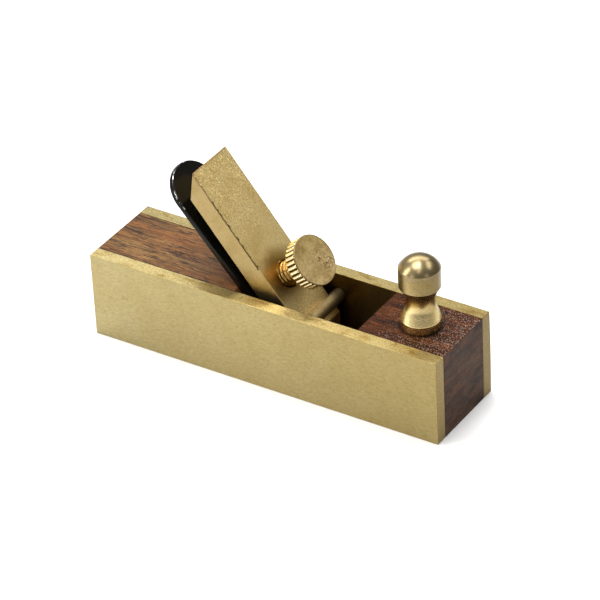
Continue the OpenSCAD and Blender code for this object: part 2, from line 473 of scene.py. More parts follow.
def cap_brass():
    """Lever cap: granular and sparkling towards its upper end, with sides painted darker as shade, a
    painted brown shadow and reflection of the screw around it, a dark rim at its end, and a painted shadow
    along the torn seam under the burr of its near top edge."""
    m = Nodes("cap_brass")
    here = m.local(CAP)
    along, across, out = m.split(here)[:3]
    facing = m.vector("DOT_PRODUCT", m.normals, CAP.to_3x3().col[2])
    face = m.ramp(facing, [(0.5, 0.0), (0.8, 1.0)])
    side = m.ramp(m.math("ABSOLUTE", m.split(m.normals)[1]), [(0.6, 0.0), (0.85, 1.0)])
    upper = m.share(along, 0, -22 * MM, clamp=True)
    upper_face = m.math("MULTIPLY", upper, face)
    coarse = m.noise(here, 2700, 4, 0.75)
    lines = m.streaks((70, 2600, 2600), 4, 0.6, source=here)
    cloud = m.noise(here, 150, 4, 0.6)
    tone = m.mix(0.45, CAP_TONE, m.ramp(cloud, [(0.36, CAP_DEEP), (0.5, CAP_TONE), (0.66, CAP_PALE)]))
    sparkle = m.ramp(coarse, [(0.3, 0.45), (0.45, 0.88), (0.56, 1.08), (0.68, 1.6)])
    tone = m.tint(tone, sparkle, m.math("MULTIPLY_ADD", upper_face, 0.6, 0.3))
    # Painted shade: the cap's sides are painted darker
    tone = m.tint(tone, (0.50, 0.49, 0.50), side)
    # Painted shadow and reflection of the screw head, brown on the face round the screw
    drift = m.math("MULTIPLY_ADD", cloud, 0.3, m.share(m.length(across, along), 0, 9 * MM))
    painted_screw_shadow = m.math("MULTIPLY", m.ramp(drift, [(0.5, 1.0), (0.68, 0.7), (0.95, 0.0)]), face)
    tone = m.mix(painted_screw_shadow, tone, (0.235, 0.125, 0.014))
    top_end = min(p.x for p in local_points("lever_cap", CAP))
    from_end = m.math("MULTIPLY_ADD", coarse, 0.3, m.share(along, top_end, top_end + MM))
    end_rim = m.ramp(from_end, [(0.3, 0.85), (0.65, 0.0)])
    tone = m.mix(end_rim, tone, (0.34, 0.19, 0.09))
    low_end = m.ramp(m.share(along, 0, 12 * MM), [(0.2, 0.0), (0.6, 0.8)])
    tone = m.mix(m.math("MULTIPLY", low_end, face), tone, m.tint((0.83, 0.61, 0.25), sparkle))
    # Painted shadow: a dark ragged line just under the near top edge, below the burr's overhang
    ragged = m.streaks((1000, 1, 1), 5, 0.75, source=here)
    seam = m.math("ABSOLUTE", m.math("ADD", out, m.math("MULTIPLY_ADD", ragged, 0.9 * MM, -0.22 * MM)))
    torn = m.ramp(m.share(seam, 0, MM), [(0.12, 1.0), (0.25, 0.0)])
    reach = m.math("MULTIPLY", m.math("LESS_THAN", along, BURR_END),
                   m.math("LESS_THAN", across, CAP_NEAR_SIDE))
    started = m.ramp(m.share(along, top_end, top_end + 10 * MM), [(0.55, 0.0), (0.75, 1.0)])
    tone = m.mix(m.math("MULTIPLY", torn, reach), tone,
                 m.mix(started, (0.24, 0.14, 0.07), (0.05, 0.028, 0.01)))
    m.set(base=tone, metal=1.0)
    m.set(rough=m.math("MULTIPLY_ADD", lines, 0.12, m.math("MULTIPLY_ADD", upper, 0.02, 0.33)))
    fine = m.bump(lines, 0.006 * MM)
    fine = m.bump(coarse, 0.02 * MM, normal=fine)
    m.set(normal=m.facets(here, 4600, m.math("MULTIPLY_ADD", upper_face, 0.16, 0.05), fine))
    return m.material


def axis_coords(m, place):
    """Local coordinates of a turned part, its radius and height, and a vector of those two."""
    here = m.local(place)
    x, y, z = m.split(here)[:3]
    radius = m.length(x, y)
    flat = m.tree.nodes.new("ShaderNodeCombineXYZ")
    m.put(flat.inputs[0], radius)
    m.put(flat.inputs[1], z)
    return here, radius, z, flat.outputs[0]


def even(value):
    """Stops of a ramp that has the same value all along."""
    return [(0.0, value), (1.0, value)]


def turned_brass(name, place, rough, tone, ring_depth, span, shade, lit_side=None):
    """Brass off a lathe: fine rings about its axis, clouding, and painted light and shade along its
    height.
    span is (lowest, highest) along the axis; rough and shade hold stops of roughness and of painted light
    and shade between them. lit_side is (direction, stops), for painted light and shade that change from
    the side that faces away from a direction to the side that faces it. ring_depth is in millimetres."""
    m = Nodes(name)
    here, _, z, flat = axis_coords(m, place)
    rings = m.noise(flat, 6000, 3, 0.7)
    cloud = m.noise(here, 260, 4, 0.6)
    grain = m.noise(here, 3000, 3, 0.7)
    brown = tuple(c * k for c, k in zip(tone, (0.78, 0.66, 0.46)))
    base = m.mix(m.ramp(cloud, [(0.4, 0.0), (0.62, 0.45)]), tone, brown)
    base = m.tint(base, m.ramp(grain, [(0.3, 0.74), (0.5, 1.0), (0.7, 1.16)]))
    height = m.share(z, *span)
    base = m.tint(base, m.ramp(height, shade))
    # Painted light and shade: one side painted brighter than the other
    if lit_side:
        direction, stops = lit_side
        facing = m.math("MULTIPLY_ADD", m.vector("DOT_PRODUCT", m.normals, direction), 0.5, 0.5)
        base = m.tint(base, m.ramp(facing, stops))
    # Rings and clouding together add about 0.1 to the roughness
    polish = m.math("SUBTRACT", m.ramp(height, rough), 0.1)
    polish = m.math("MULTIPLY_ADD", rings, 0.08, m.math("MULTIPLY_ADD", cloud, 0.12, polish))
    m.set(base=base, metal=1.0, rough=polish, normal=m.bump(rings, ring_depth * MM))
    return m.material


def screw_brass():
    """Thumb screw: bright knurl crests over valleys painted dark as shade, a groove and lip painted dark
    as shade, a scuffed and pitted end painted lighter to one side as light, and a brown neck.
    """
    m = Nodes("screw_brass")
    here, radius, z, flat = axis_coords(m, CAP)
    _, high, head_r, head_back = screw_sizes()
    head = m.math("GREATER_THAN", z, head_back - 0.05 * MM)
    end = m.ramp(m.vector("DOT_PRODUCT", m.normals, CAP.to_3x3().col[2]), [(0.7, 0.0), (0.9, 1.0)])
    flank = m.math("MULTIPLY", head, m.math("SUBTRACT", 1.0, end))
    rings = m.noise(flat, 4200, 3, 0.7)
    cloud = m.noise(here, 300, 4, 0.65)
    grain = m.noise(here, 2300, 3, 0.75)
    neck = m.mix(m.ramp(cloud, [(0.4, 0.0), (0.6, 1.0)]), (0.49, 0.30, 0.085), (0.29, 0.155, 0.036))
    face = m.mix(m.ramp(cloud, [(0.36, 0.0), (0.62, 1.0)]), (0.80, 0.58, 0.26), (0.50, 0.33, 0.12))
    face = m.tint(face, m.ramp(grain, [(0.28, 0.6), (0.46, 0.96), (0.6, 1.05), (0.72, 1.25)]))
    # Painted light: the end is painted darker on one side and lighter on the other
    run = m.ramp(m.share(m.split(here)[0], -head_r, head_r),
                 [(0.15, (0.86, 0.87, 0.79)), (0.85, (1.14, 1.2, 1.28))])
    face = m.tint(face, run)
    rim = m.ramp(m.share(radius, 0, head_r), [(0.93, 0.0), (0.975, 0.8)])
    face = m.mix(rim, face, (0.36, 0.25, 0.11))
    specks = m.noise(here, 3000, 2, 0.75)
    scuffs = m.streaks((900, 4600, 1600), 3, 0.7, turn=(0, 0, 0.9), source=here)
    spot_x, spot_y = m.split(m.vector("SUBTRACT", here, (1.5 * MM, 2.3 * MM, high)))[:2]
    from_spot = m.share(m.length(spot_x, spot_y), 0, 6 * MM)
    region = m.ramp(m.math("MULTIPLY_ADD", cloud, 0.35, from_spot), [(0.38, 1.0), (0.7, 0.15)])
    dents = m.math("ADD", m.ramp(specks, [(0.42, 1.0), (0.50, 0.0)]),
                   m.ramp(scuffs, [(0.40, 0.9), (0.46, 0.0)]))
    dents = m.math("MULTIPLY", dents, region, clamp=True)
    face = m.mix(dents, face, (0.20, 0.125, 0.05))
    # Painted shade: the knurl's valleys are painted nearly black
    valley = m.ramp(m.share(radius, head_r, head_r - KNURL_DEPTH), [(0.22, 0.0), (0.6, 1.0)])
    crest = m.mix(m.ramp(grain, [(0.35, 0.5), (0.55, 0.0)]), (0.84, 0.72, 0.44), (0.66, 0.49, 0.23))
    knurl = m.mix(valley, crest, (0.085, 0.045, 0.014))
    # Painted shade: the groove and plain lip next to the end are painted dark
    collar = m.math("GREATER_THAN", z, high - FACE_LIP - 0.1 * MM)
    knurl = m.mix(collar, knurl, (0.22, 0.14, 0.05))
    m.set(base=m.mix(end, m.mix(head, neck, knurl), face), metal=1.0)
    plain = m.math("MULTIPLY_ADD", cloud, 0.12, 0.24)
    plain = m.math("MULTIPLY_ADD", m.math("MULTIPLY", flank, valley), 0.3, plain)
    m.set(rough=m.math("MULTIPLY_ADD", end, 0.12, m.math("MULTIPLY_ADD", flank, -0.1, plain)))
    fine = m.bump(rings, 0.003 * MM)
    fine = m.bump(m.math("MULTIPLY", m.math("MULTIPLY", dents, end), -1.0), 0.03 * MM, normal=fine)
    m.set(normal=m.facets(here, 3000, m.math("MULTIPLY", end, 0.10), fine))
    return m.material


# Cells a metre, in the pattern of the pale specks on the wood's top, which are painted glints
GLINT_CELLS = 5400


def rosewood(name, light, mid, dark, warm, sheen, rough, ripple, specks, seed):
    """Straight-grained rosewood along X: wavy bands, thin dark veins, pores and end grain, with
    dirt beside the plates and a painted shadow around the knob. specks is the strength of the crumbs on
    the top and of the pale specks, painted glints, that crowd towards the toe. ripple is the depth of its
    fine bumps and seed the block's place in the wood, both in millimetres."""
    m = Nodes(name)
    bent = m.streaks((60, 150, 150), 2, 0.5, colour=True)
    fine_bend = m.streaks((380, 520, 520), 3, 0.6, colour=True)
    grain = m.vector("MULTIPLY_ADD", bent, (0.0, 1.3 * MM, 1.3 * MM), m.coords)
    grain = m.vector("MULTIPLY_ADD", fine_bend, (0.0, 0.95 * MM, 0.95 * MM), grain)
    grain = m.vector("ADD", grain, (seed * MM, seed * MM, seed * 0.7 * MM))
    bands = m.streaks((42, 520, 520), 4, 0.65, source=grain)
    hue = m.streaks((22, 150, 150), 2, 0.5, source=grain)
    veins = m.streaks((55, 900, 900), 2, 0.5, source=grain)
    fibre = m.streaks((190, 2500, 2500), 4, 0.7, source=grain)
    pores = m.streaks((600, 4800, 4800), 1, 0.4, source=grain)
    patches = m.streaks((100, 380, 380), 3, 0.6, source=grain)
    tone = m.ramp(bands, [(0.32, dark), (0.42, mid), (0.56, light)])
    tone = m.mix(m.ramp(hue, [(0.45, 0.0), (0.6, 0.7)]), tone, warm)
    vein = m.ramp(m.math("ABSOLUTE", m.math("SUBTRACT", veins, 0.5)),
                  [(0.0, 1.0), (0.016, 0.9), (0.045, 0.0)])
    broken = m.ramp(patches, [(0.42, 0.1), (0.52, 1.0)])
    tone = m.mix(m.math("MULTIPLY", vein, broken), tone, tuple(0.6 * c for c in dark))
    tone = m.tint(tone, m.ramp(fibre, [(0.34, 0.45), (0.5, 1.0), (0.66, 1.6)]))
    pore = m.ramp(pores, [(0.3, 1.0), (0.38, 0.0)])
    tone = m.mix(m.math("MULTIPLY", pore, 0.8), tone, tuple(0.45 * c for c in dark))
    nx, _, nz = m.split(m.normals)[:3]
    end = m.ramp(m.math("ABSOLUTE", nx), [(0.45, 0.0), (0.8, 1.0)])
    rays = m.streaks((300, 170, 520), 4, 0.65, turn=(0.7, 0, 0))
    cut_grain = m.ramp(rays, [(0.34, (0.022, 0.0105, 0.0055)), (0.46, (0.041, 0.018, 0.009)),
                              (0.55, (0.056, 0.0265, 0.0135)), (0.68, (0.09, 0.031, 0.0105))])
    open_pores = m.ramp(m.noise(m.coords, 3800, 2, 0.6), [(0.3, 0.6), (0.7, 1.4)])
    tone = m.mix(end, tone, m.tint(cut_grain, open_pores))
    x, y = m.split(m.coords)[:2]
    top = m.ramp(nz, [(0.5, 0.0), (0.8, 1.0)])
    toward_toe = m.math("MULTIPLY", top, m.share(x, 24.8 * MM, 40.8 * MM, clamp=True))
    # Painted glints: pale specks on the top that crowd towards the toe
    picked = m.math("LESS_THAN", m.split(m.cells(m.coords, GLINT_CELLS, output="Color"))[0],
                    m.math("MULTIPLY", toward_toe, 0.34))
    painted_glints = m.math("MULTIPLY", m.ramp(m.cells(m.coords, GLINT_CELLS), [(0.25, 1.0), (0.45, 0.0)]), picked)
    crumbs = m.ramp(m.noise(m.coords, 2600, 2, 0.7), [(0.34, 0.35), (0.5, 1.0), (0.66, 1.9)])
    rough_top = m.math("MULTIPLY", top, specks)
    tone = m.tint(tone, crumbs, rough_top)
    tone = m.mix(m.math("MULTIPLY", painted_glints, rough_top), tone, (0.62, 0.47, 0.40))
    from_plate = m.share(m.math("ABSOLUTE", y), HALF_THROAT, HALF_THROAT - MM)
    tone = m.tint(tone, m.ramp(from_plate, [(0.06, 0.3), (0.3, 1.0)]))
    # Painted shadow: the wood darkens in a ring round the knob's foot
    knob_x, knob_y = m.split(m.vector("SUBTRACT", m.coords, knob_place().translation))[:2]
    from_knob = m.share(m.length(knob_x, knob_y), 0, 8 * MM)
    tone = m.tint(tone, m.ramp(from_knob, [(0.55, 0.3), (0.66, 1.0)]))
    m.set(base=tone, specular=sheen)
    m.set(rough=m.math("MULTIPLY_ADD", patches, -0.3, rough + 0.15))
    dust = m.noise(m.coords, 3000, 2, 0.6)
    fine = m.bump(m.math("SUBTRACT", m.math("MULTIPLY", fibre, 0.5), pore), 0.03 * MM)
    m.set(normal=m.bump(dust, ripple * MM, normal=fine))
    return m.material


def blade_black():
    """Glossy black lacquer with a faint orange peel, worn to bare steel in streaks on its rim."""
    m = Nodes("blade_black")
    here = m.local(BED)
    along = m.split(here)[0]
    peel = m.noise(m.coords, 420, 2, 0.5)
    smear = m.noise(m.coords, 160, 4, 0.6)
    slope = m.math("ABSOLUTE", m.vector("DOT_PRODUCT", m.normals, BED.to_3x3().col[2]))
    rim = m.ramp(slope, [(0.25, 0.0), (0.45, 1.0), (0.86, 1.0), (0.97, 0.0)])
    streaks = m.streaks((330, 330, 1500), 3, 0.7, source=here)
    rubbed = m.ramp(streaks, [(0.50, 0.0), (0.56, 1.0)])
    low, high = local_box("blade", BED)
    round_end = m.math("LESS_THAN", along, low.x + high.y + 1.5 * MM)
    bare = m.math("MULTIPLY", m.math("MULTIPLY", rim, rubbed), round_end)
    black = m.ramp(smear, [(0.35, (0.003, 0.003, 0.002)), (0.7, (0.006, 0.005, 0.004))])
    m.set(base=m.mix(bare, black, (0.72, 0.71, 0.68)), metal=bare, specular=0.12)
    m.set(rough=m.math("MULTIPLY_ADD", smear, 0.12, 0.07), normal=m.bump(peel, 0.012 * MM))
    return m.material


def ground_steel():
    """Bright steel of the ground bevel, with grinding lines across the blade."""
    m = Nodes("ground_steel")
    lines = m.streaks((5200, 120, 5200), 3, 0.6, source=m.local(BED))
    m.set(base=m.ramp(lines, [(0.3, (0.42, 0.42, 0.43)), (0.7, (0.62, 0.62, 0.63))]), metal=1.0)
    m.set(rough=m.math("MULTIPLY_ADD", lines, 0.2, 0.22), normal=m.bump(lines, 0.01 * MM))
    return m.material


# -------------------------------- stock

def side_plate(name, side, material):
    """A side plate: rolled outer top edge, small nicks, and an outer face crowned towards the toe."""
    low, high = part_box(name)
    inner, outer = (low.y, high.y) if side > 0 else (high.y, low.y)
    roll, crisp = 0.11 * MM, 0.07 * MM
    radii = [crisp, crisp, roll, crisp] if side > 0 else [crisp, crisp, crisp, roll]
    section = rounded_section((low.y, low.z), (high.y, high.z), radii)
    bow = 0.2 * MM if side > 0 else 0.04 * MM

    def put(x, y, z):
        reach = (y - inner) / (outer - inner)
        crown = (2 * (z - low.z) / (high.z - low.z) - 1) ** 2
        growth = 0.35 + 0.65 * unit((x - low.x) / (high.x - low.x))
        return Vector((x, y - side * bow * crown * growth * max(0.0, reach) ** 2, z))

    def wear(x, point, corner):
        nick = max(0.0, wobble(x, corner * 5 * MM, side * 3 * MM, 1.1 * MM) - 0.2) * 0.07 * MM
        return max(0.0, nick + 0.025 * MM * wobble(x, corner * 7 * MM, side * MM, 0.35 * MM))

    bm = loft(section, stations(low.x, high.x, 0.09 * MM, 0.4 * MM), put, wear)
    return finish_piece(name + "_brass", bm, "stock", [name], [material])


def wood_block(name, rear, front, material):
    """A block between the plates. rear and front give the ends' X at each height."""
    low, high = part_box(name)
    gap = 0.03 * MM
    crisp = 0.09 * MM
    section = rounded_section((low.y + gap, low.z), (high.y - gap, high.z - gap), [crisp] * 4)
    length = front(high.z) - rear(high.z)

    def put(along, y, z):
        share = along / length
        return Vector((rear(z) + share * (front(z) - rear(z)), y, z))

    def wear(along, point, corner):
        return 0.05 * MM * max(0.0, wobble(along, corner * 9 * MM, 0, 0.8 * MM))

    bm = loft(section, stations(0, length, crisp, 0.5 * MM), put, wear)
    return finish_piece(name + "_wood", bm, "stock", [name], [material])


def line_x(bottom, top):
    """X along a straight sloping end, from its X at the sole and at the top."""
    return lambda z: bottom + (top - bottom) * (z - STOCK_LOW.z) / (TOP_Z - STOCK_LOW.z)


PIN_AT = Vector(JOINTS["lever_cap_rock"]["pos_m"])
PIN_PLACE = Matrix.Translation(PIN_AT) @ Matrix.Rotation(-math.pi / 2, 4, "X")


def cross_pin(material):
    low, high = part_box("cross_pin")
    r = pin_radius()
    outline = soften([(HUB, low.y), (r, low.y), (r, high.y), (HUB, high.y)], 0.15 * MM, 0.2 * MM)
    bm = revolve(outline, PIN_PLACE, 64)
    return finish_piece("cross_pin_bar", bm, "stock", ["cross_pin"], [material])


def pin_socket(reach):
    """Cutter for the cross pin's blind holes, with a small chamfer at each inner face."""
    r = pin_radius() + 0.02 * MM
    chamfer = 0.12 * MM
    outline = [(r, -reach), (r, -HALF_THROAT - chamfer), (r + chamfer, -HALF_THROAT),
               (r + chamfer, HALF_THROAT), (r, HALF_THROAT + chamfer), (r, reach)]
    return revolve(outline, PIN_PLACE, 64)


# -------------------------------- blade and lever cap

def blade(black, steel):
    """Round-ended blade with a softened rim and a bright ground bevel under its edge."""
    low, high = local_box("blade", BED)
    half = high.y
    centre = low.x + half
    rim = 0.28 * MM
    turns = [math.pi * k / 72 for k in range(73)]

    def ring(depth, z):
        arc = [(centre - (half - depth) * math.sin(a), (half - depth) * math.cos(a), z) for a in turns]
        return [Vector(p) for p in arc + [(high.x, depth - half, z), (high.x, half - depth, z)]]

    angles = [math.pi / 2 * k / 6 for k in range(7)]
    curve = [(rim * (1 - math.sin(a)), rim * (1 - math.cos(a))) for a in angles]
    rings = [ring(2 * rim, low.z)] + [ring(depth, low.z + rise) for depth, rise in curve]
    rings += [ring(depth, high.z - rise) for depth, rise in reversed(curve)] + [ring(2 * rim, high.z)]
    bm = skin(rings)
    ground = [p for p in local_points("blade", BED) if p.z < low.z + NEAR]
    heel = max(p.x for p in ground)
    slope = Vector((high.z - low.z, 0, heel - high.x)).normalized()
    bmesh.ops.bisect_plane(bm, geom=bm.verts[:] + bm.edges[:] + bm.faces[:], clear_outer=True,
                           plane_co=(heel, 0, low.z), plane_no=slope)
    loose = [e for e in bm.edges if len(e.link_faces) == 1]
    for face in bmesh.ops.edgeloop_fill(bm, edges=loose)["faces"]:
        face.material_index = 1
    bmesh.ops.transform(bm, matrix=BED, verts=bm.verts)
    return finish_piece("blade_iron", bm, "blade", ["blade"], [black, steel])


def lever_cap(material):
    """The lever cap as one skin: undercut top end, burred near edge, pin groove, nose and lip.
    In it, s runs down the cap, y across it and n out of its face, and u is the share of the way
    from the upper end to the lower."""
    low, high = local_box("lever_cap", CAP)
    points = local_points("lever_cap", CAP)
    thick = -min(p.z for p in points if p.x < 0)
    top_end = min(p.x for p in points)
    under_end = min(p.x for p in points if p.z < -thick + NEAR)
    nose_n = max(p.z for p in points if p.x > high.x - NEAR)
    groove_r = pin_radius() + 0.05 * MM
    groove_half = math.sqrt(groove_r ** 2 - PIN.z ** 2)
    nose_s = max(p.x for p in points if p.z > -NEAR)
    lip_n = min(p.z for p in points)
    lip_s = high.x - 2.2 * MM
    lip_run = 0.8 * MM
    noise_length = 42 * MM

    def upper_end(n):
        return top_end + (under_end - top_end) * unit(-n / thick)

    def lower_end(n):
        return nose_s + (high.x - nose_s) * unit(n / nose_n)

    def groove(s):
        gap = abs(s - PIN.x)
        return 0.0 if gap >= groove_half else PIN.z - math.sqrt(groove_r ** 2 - gap ** 2)

    def lip(s):
        return (lip_n + thick) * unit((s - lip_s + lip_run) / lip_run)

    def burr(s, y, n):
        """Burr along the near top edge: it overhangs the side, above a torn groove."""
        overhang, overhang_n = 0.09 * MM, -0.22 * MM
        groove_depth, groove_n, groove_run = 0.16 * MM, -0.42 * MM, 0.24 * MM
        if y > low.y + 0.02 * MM:
            return 0.0
        share = unit((BURR_END - s) / (4 * MM))
        ragged = 0.5 + 0.5 * wobble(s, 0, 3 * MM, 0.45 * MM) + 0.3 * wobble(s, 2 * MM, 0, 0.2 * MM)
        if n > overhang_n:
            return -overhang * share * max(0.0, ragged)
        torn = max(0.0, 1 - abs(n - groove_n) / groove_run)
        return groove_depth * share * torn * max(0.2, ragged)

    def put(u, y, n):
        s = upper_end(n) + u * (lower_end(n) - upper_end(n))
        depth = unit(-n / (0.5 * thick))
        sunk = n + (1 - depth) * groove(s) + max(0.0, 2 * depth - 1) * (lip(s) if n < -0.6 * thick else 0)
        return CAP @ Vector((s, y + burr(s, y, n), sunk))

    def wear(u, point, corner):
        s = u * noise_length
        nick = 0.03 * MM * wobble(s, corner * 9 * MM, 0, 0.5 * MM)
        if u < 0.2:
            nick += 0.05 * MM * max(0.0, wobble(s, corner * 5 * MM, point.x, 0.3 * MM))
        return max(0.0, nick)

    edge = 0.11 * MM
    section = rounded_section((low.y, -thick), (high.y, 0), [edge] * 4, spacing=0.2 * MM)
    length = nose_s - top_end
    places = [(d / length, depth) for d, depth in stations(0, length, edge, 0.2 * MM)]
    beside = 0.0008
    for side in (-1, 1):
        rim = (PIN.x + side * groove_half - top_end) / length
        places += [(rim - beside, 0.0), (rim, 0.0), (rim + beside, 0.0)]
    places.sort(key=lambda place: place[0])
    bm = loft(section, places, put, wear)
    piece = finish_piece("lever_cap_brass", bm, "lever_cap", ["lever_cap"], [material])
    hole = screw_radius() + 0.04 * MM
    mouth = hole + 0.3 * MM
    outline = [(hole, low.z - MM), (hole, -0.3 * MM), (mouth, 0), (mouth, MM)]
    cut(piece, revolve(outline, CAP, 96))
    return piece


def pin_radius():
    low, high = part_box("cross_pin")
    return (high.x - low.x) / 2


def screw_radius():
    """Radius of the thumb screw's thread, from the CAD node below its head."""
    shank = [p for p in local_points("thumb_screw", CAP) if p.z < 2 * MM]
    return max(r for r in (math.hypot(p.x, p.y) for p in shank) if r < 4 * MM)


def screw_sizes():
    """Lowest and highest point of the thumb screw along its axis, its head's radius and back."""
    points = local_points("thumb_screw", CAP)
    head_r = max(math.hypot(p.x, p.y) for p in points)
    head_back = min(p.z for p in points if math.hypot(p.x, p.y) > 0.8 * head_r)
    return min(p.z for p in points), max(p.z for p in points), head_r, head_back


# -------------------------------- turned parts

ADVANCE, TWIST = JOINTS["thumb_screw_advance"], JOINTS["thumb_screw_turn"]
PITCH = ADVANCE["range_m"][1] / (TWIST["range_deg"][1] / 360)
KNURL_TEETH = 32
# Shares of the way from a crest's middle to a valley's, where the crest ends and the valley is full
KNURL_CREST, KNURL_VALLEY = 0.5, 0.9
KNURL_DEPTH = 0.5 * MM
# Height of the plain lip between the knurl and the screw's end
FACE_LIP = 0.32 * MM


def thumb_screw(material):
    """Knurled head over a cut thread that runs down to a plain spigot."""
    low, high, head_r, head_back = screw_sizes()
    thread_r = 2.75 * MM
    thread_low = low + 0.6 * MM
    thread_depth = 0.24 * MM
    thread_step = 0.08 * MM
    runout, fade_length = 0.35 * MM, 2.4 * MM
    rounding = 0.07 * MM
    groove_h = high - FACE_LIP
    segments = KNURL_TEETH * 10

    def radius(r, h, a):
        if thread_low + 0.2 * MM < h < head_back - runout and abs(r - thread_r) < MM / 1000:
            phase = (h / PITCH - a / TURN) % 1.0
            flank = 0.5 - 0.5 * math.cos(TURN * phase)
            fade = unit((head_back - runout - h) / fade_length)
            return r - thread_depth * fade * flank ** 0.75
        if head_back + 0.1 * MM < h < groove_h - 0.05 * MM and r > head_r - 0.3 * MM:
            flank = abs(2 * ((KNURL_TEETH * a / TURN) % 1.0) - 1)
            edge = min(h - head_back - 0.05 * MM, groove_h - 0.02 * MM - h)
            fade = unit(edge / (0.12 * MM))
            if flank < KNURL_CREST:
                depth = rounding * (flank / KNURL_CREST) ** 2
            else:
                share = unit((flank - KNURL_CREST) / (KNURL_VALLEY - KNURL_CREST))
                depth = rounding + (KNURL_DEPTH - rounding) * share
            return r - depth * (0.5 + 0.5 * fade)
        return r

    # From the tip: spigot, thread, back of the head, knurl, groove, lip and end
    spigot_r = 1.2 * MM
    outline = [(HUB, low), (spigot_r, low), (spigot_r, thread_low), (thread_r - 0.4 * MM, thread_low)]
    height = thread_low + 0.3 * MM
    while height < head_back - runout:
        outline.append((thread_r, height))
        height += thread_step
    back_edge = 0.12 * MM
    outline += [(thread_r, head_back - 0.3 * MM), (thread_r + 0.12 * MM, head_back - 0.08 * MM),
                (thread_r + 0.3 * MM, head_back), (head_r - 0.5 * MM, head_back),
                (head_r - 0.35 * MM, head_back), (head_r - back_edge, head_back + back_edge)]
    knurl_low, knurl_high = head_back + 0.2 * MM, groove_h - 0.16 * MM
    knurl_rows = 12
    outline += [(head_r, knurl_low + (knurl_high - knurl_low) * k / knurl_rows)
                for k in range(knurl_rows + 1)]
    outline += [(head_r - 0.25 * MM, groove_h - 0.03 * MM), (head_r - 0.25 * MM, groove_h + 0.01 * MM),
                (head_r - 0.05 * MM, groove_h + 0.05 * MM), (head_r - 0.02 * MM, groove_h + 0.09 * MM),
                (head_r - 0.02 * MM, high - 0.08 * MM), (head_r - 0.05 * MM, high - 0.02 * MM),
                (head_r - 0.1 * MM, high), (head_r - 0.25 * MM, high), (2 * MM, high), (HUB, high)]
    bm = revolve(outline, CAP, segments, radius)
    return finish_piece("thumb_screw_brass", bm, "thumb_screw", ["thumb_screw"], [material])


def arc(centre, r, start, end, count):
    """Points along a circle as (radius, height), from one angle to another in degrees."""
    angles = [math.radians(start + (end - start) * k / count) for k in range(count + 1)]
    return [(centre[0] + r * math.cos(a), centre[1] + r * math.sin(a)) for a in angles]


def knob_place():
    low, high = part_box("front_knob")
    return Matrix.Translation(((low.x + high.x) / 2, 0, low.z))


def knob_brass():
    """Polished knob with painted light and shade: paler on its base, brown at its waist and darker over
    its head and dome, and painted brighter on the side towards the heel and the near plate than on the
    other."""
    low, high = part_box("front_knob")
    # Painted light and shade along the knob's height and across its sides
    shade = [(0.09, (1.08, 1.1, 1.0)), (0.12, (1.26, 1.26, 1.28)), (0.22, (1.16, 1.15, 1.14)),
             (0.30, (0.80, 0.77, 0.72)), (0.42, (0.70, 0.61, 0.45)), (0.50, (0.37, 0.35, 0.31)),
             (0.76, (0.37, 0.35, 0.31)), (0.80, (0.34, 0.33, 0.34)), (0.95, (0.46, 0.45, 0.46))]
    toward_painted_shade = (0.845, 0.533, 0.0)
    painted_side_light = [(0.1, 1.0), (0.2, 1.45), (0.35, 1.12), (0.5, 0.95), (0.8, (0.72, 0.71, 0.68))]
    return turned_brass("knob_brass", knob_place(), [(0.78, 0.25), (0.85, 0.31)], (0.68, 0.55, 0.28),
                        0.002, (0, high.z - low.z), shade, (toward_painted_shade, painted_side_light))


def front_knob(material):
    """Turned knob: foot, conical base, hollow waist, straight head and domed top."""
    low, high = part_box("front_knob")
    head_r = (high.x - low.x) / 2
    height = high.z - low.z
    foot_r, foot_h, flare_r = 4.29 * MM, 1.8 * MM, 4.36 * MM
    cone_tilt, bend = math.radians(20.5), 1.7 * MM
    waist_r, waist_h, hollow_r = 3.14 * MM, 6.1 * MM, 6.0 * MM
    shoulder_h = 14.2 * MM
    centre = (waist_r + hollow_r, waist_h)

    def flare(drop):
        """Radius at a distance below the waist, where the hollow runs out into a cone."""
        curved = min(drop, bend)
        return waist_r + math.tan(cone_tilt) * (curved ** 2 / (2 * bend) + drop - curved)

    hollow_a = math.degrees(math.acos((centre[0] - head_r) / hollow_r))
    dome_h = height - shoulder_h
    dome_r = (head_r ** 2 + dome_h ** 2) / (2 * dome_h)
    dome_a = math.degrees(math.asin(head_r / dome_r))
    waist = arc(centre, hollow_r, 180, 180 - hollow_a, 24)
    cone_h = waist_h - foot_h - 0.2 * MM
    drops = [cone_h * k / 30 for k in range(30, 0, -1)]
    cone = [(flare(drop), waist_h - drop) for drop in drops]
    dome = arc((0, height - dome_r), dome_r, 90 - dome_a, 89.6, 28)
    outline = [(0.5 * MM, 0), (foot_r, 0), (foot_r, foot_h), (flare_r, foot_h + 0.12 * MM)]
    outline += cone + waist + [(head_r, shoulder_h)] + dome[1:]
    outline = soften(outline, 0.09 * MM, 0.12 * MM)
    bm = revolve(outline, knob_place(), 128)
    return finish_piece("front_knob_brass", bm, "stock", ["front_knob"], [material])


# -------------------------------- camera, floor and lights

# Fitted to the corners of the stock in the photo
CAMERA_AT = (0.36481, -0.53735, 0.45098)
CAMERA_RIGHT = Vector((0.845097, 0.532743, -0.044671))
CAMERA_UP = Vector((-0.265943, 0.491410, 0.829331))
CAMERA_LENS = 224.3

